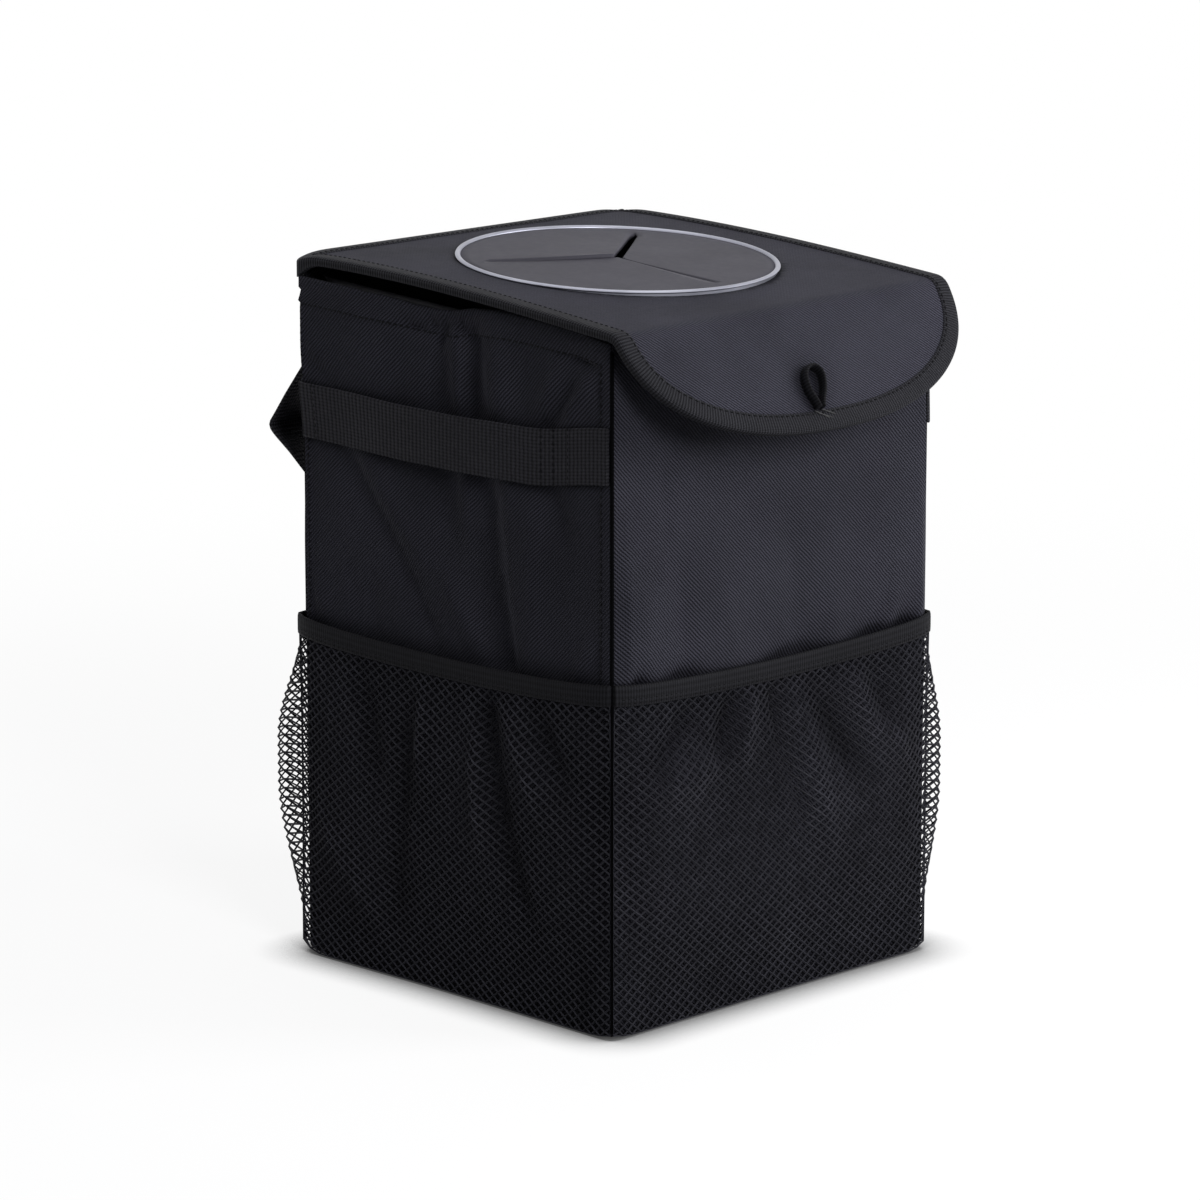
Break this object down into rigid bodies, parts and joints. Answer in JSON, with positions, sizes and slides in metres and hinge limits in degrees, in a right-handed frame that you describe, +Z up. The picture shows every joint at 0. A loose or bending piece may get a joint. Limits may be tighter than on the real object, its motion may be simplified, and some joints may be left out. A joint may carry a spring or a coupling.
{
  "type": "car trash bin",
  "caption": "Square foldable fabric car bin with a hinged lid, a slit rubber mouth in a silver ring, a rounded front flap, net pockets, webbing handles and hanging straps.",
  "frame": {"origin": "on the floor, under the middle of the base", "axes": "+Z up; the front with the flap faces -Y; the left side, with the handle seen in the picture, faces -X"},
  "size_m": [0.231, 0.2606, 0.3225],
  "materials": {
    "twill": "coated polyester twill, black",
    "board": "plain stiffening sheet",
    "lining": "waterproof film, black",
    "net": "knotless diamond net, black",
    "elastic": "ribbed elastic, black",
    "webbing": "ribbed webbing, black",
    "tape": "ribbed binding tape, black",
    "bezel": "silver satin",
    "retainer": "black",
    "rubber": "matt dark grey"
  },
  "bodies": {
    "bin": {"bottom_panel": "twill", "front_panel": "twill", "back_panel": "twill", "left_panel": "twill", "right_panel": "twill", "hinge_strip": "twill", "bottom_board": "board", "front_board": "board", "back_board": "board", "lining": "lining", "front_net": "net", "left_net": "net", "right_net": "net", "back_net": "net", "front_elastic": "elastic", "left_elastic": "elastic", "right_elastic": "elastic", "back_elastic": "elastic", "left_handle": "webbing", "right_handle": "webbing", "left_strap": "webbing", "right_strap": "webbing"},
    "lid": {"lid_cover": "twill", "lid_board": "board", "lid_lining": "lining", "lid_binding": "tape", "ring_bezel": "bezel", "ring_retainer": "retainer", "rubber_disc": "rubber"},
    "flap": {"flap_cover": "twill", "flap_board": "board", "flap_lining": "lining", "flap_binding": "tape", "elastic_loop": "elastic"}
  },
  "joints": [
    {"name": "lid_hinge", "type": "hinge", "parent": "bin", "child": "lid", "pos_m": [0, 0.1005, 0.3171], "axis": [-1, 0, 0], "range_deg": [0, 195]},
    {"name": "flap_fold", "type": "hinge", "parent": "lid", "child": "flap", "pos_m": [0, -0.10265, 0.3109], "axis": [1, 0, 0], "range_deg": [-52, 35]}
  ]
}
